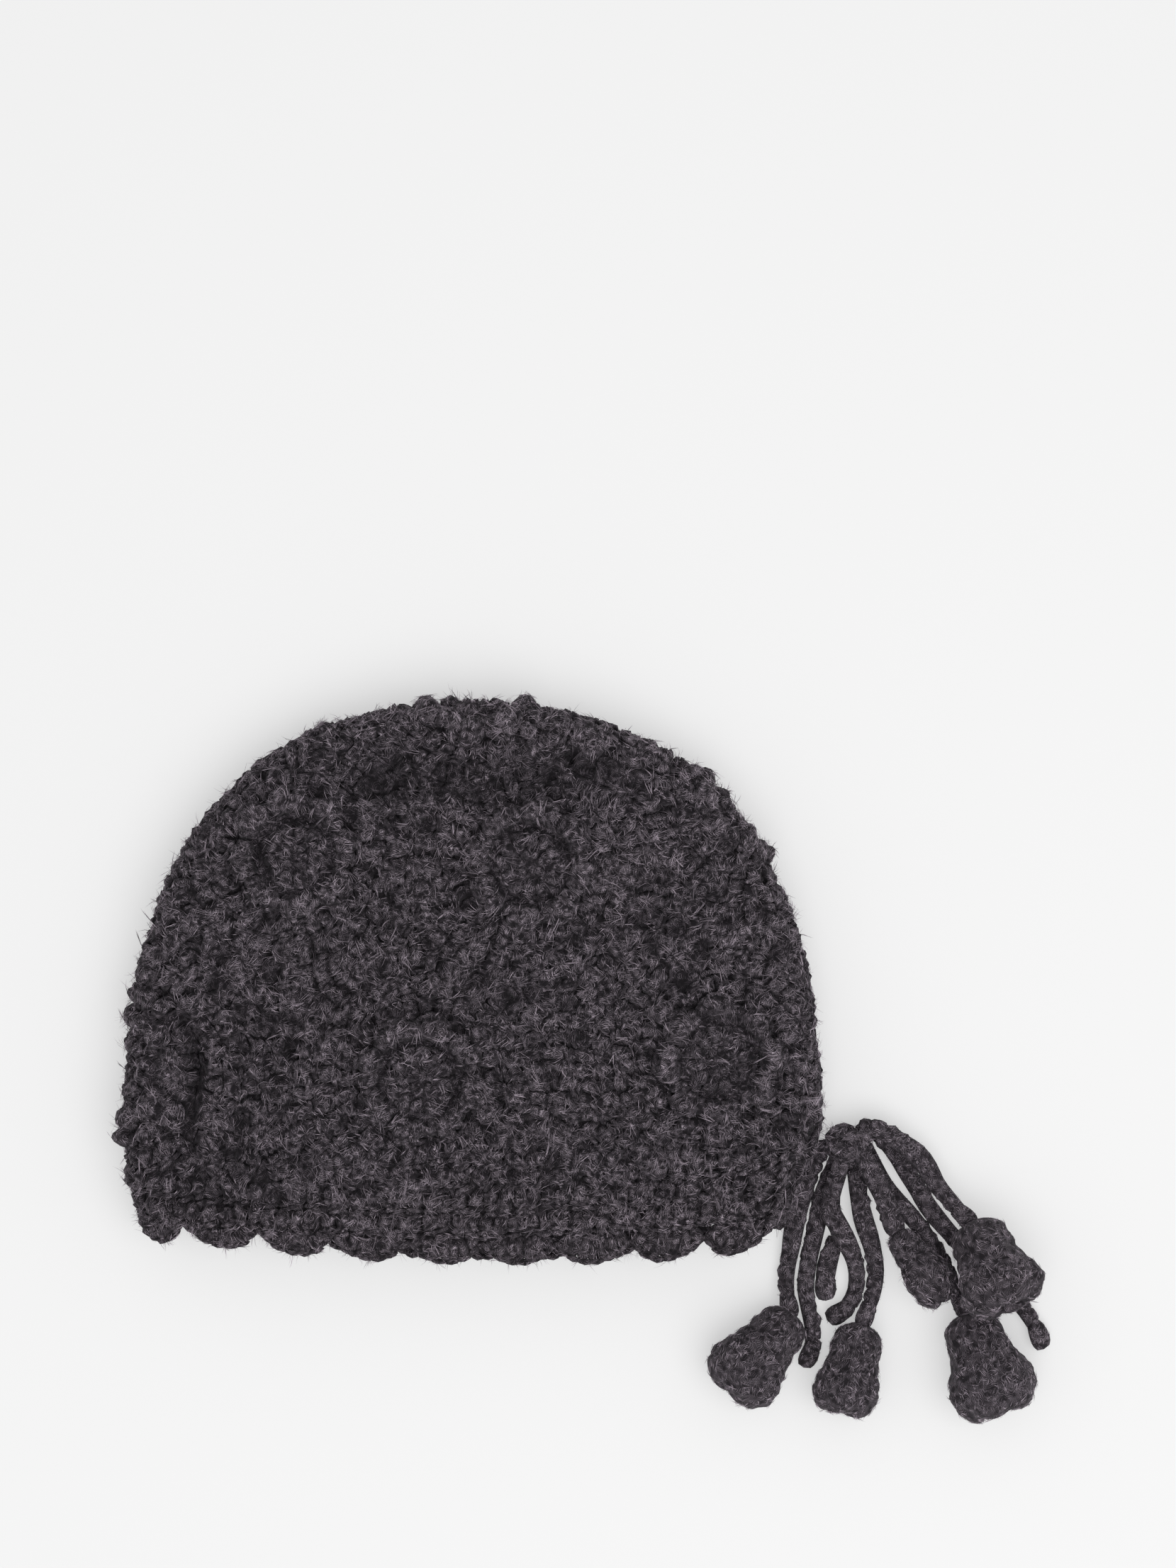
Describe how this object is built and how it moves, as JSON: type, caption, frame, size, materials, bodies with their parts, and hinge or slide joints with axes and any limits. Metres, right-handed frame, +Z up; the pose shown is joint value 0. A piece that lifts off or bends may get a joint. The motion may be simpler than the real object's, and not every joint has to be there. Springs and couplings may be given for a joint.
{
  "type": "crochet bonnet",
  "caption": "Crocheted bonnet of brushed charcoal yarn with raised flowers, a shell-scalloped hem and a drawstring that ends in crocheted bells, lying flat.",
  "frame": {"origin": "middle of the cap seen from above, on the surface that it lies on; the drawstring isn't counted", "axes": "+Z up, away from the surface; +Y from the hem to the top of the cap; +X to the side where the drawstring lies"},
  "size_m": [0.3164, 0.2447, 0.0353],
  "materials": {
    "crown_yarn": "brushed charcoal heather wool and mohair yarn, crocheted, with a soft halo of grey fibres",
    "edge_yarn": "brushed charcoal heather wool and mohair yarn, crocheted, with a soft halo of grey fibres",
    "flower_yarn": "brushed charcoal heather wool and mohair yarn, crocheted, with a soft halo of grey fibres",
    "cord_yarn": "brushed charcoal heather wool and mohair yarn, crocheted, with a soft halo of grey fibres",
    "bell_yarn": "brushed charcoal heather wool and mohair yarn, crocheted, with a soft halo of grey fibres"
  },
  "bodies": {
    "root": {"crown": "crown_yarn", "scallop_edge": "edge_yarn", "rosette_upper_1": "flower_yarn", "rosette_upper_2": "flower_yarn", "rosette_upper_3": "flower_yarn", "rosette_upper_4": "flower_yarn", "rosette_upper_5": "flower_yarn", "rosette_lower_1": "flower_yarn", "rosette_lower_2": "flower_yarn", "rosette_lower_3": "flower_yarn", "rosette_lower_4": "flower_yarn", "rosette_lower_5": "flower_yarn", "rosette_top": "flower_yarn", "tie_knot": "cord_yarn", "tie_strand_1": "cord_yarn", "tie_strand_2": "cord_yarn", "tie_strand_3": "cord_yarn", "tie_strand_4": "cord_yarn", "tie_strand_5": "cord_yarn", "tie_strand_6": "cord_yarn", "tie_strand_7": "cord_yarn", "tie_strand_8": "cord_yarn", "tie_strand_9": "cord_yarn", "bell_1": "bell_yarn", "bell_2": "bell_yarn", "bell_3": "bell_yarn", "bell_4": "bell_yarn", "bell_5": "bell_yarn"}
  },
  "joints": []
}
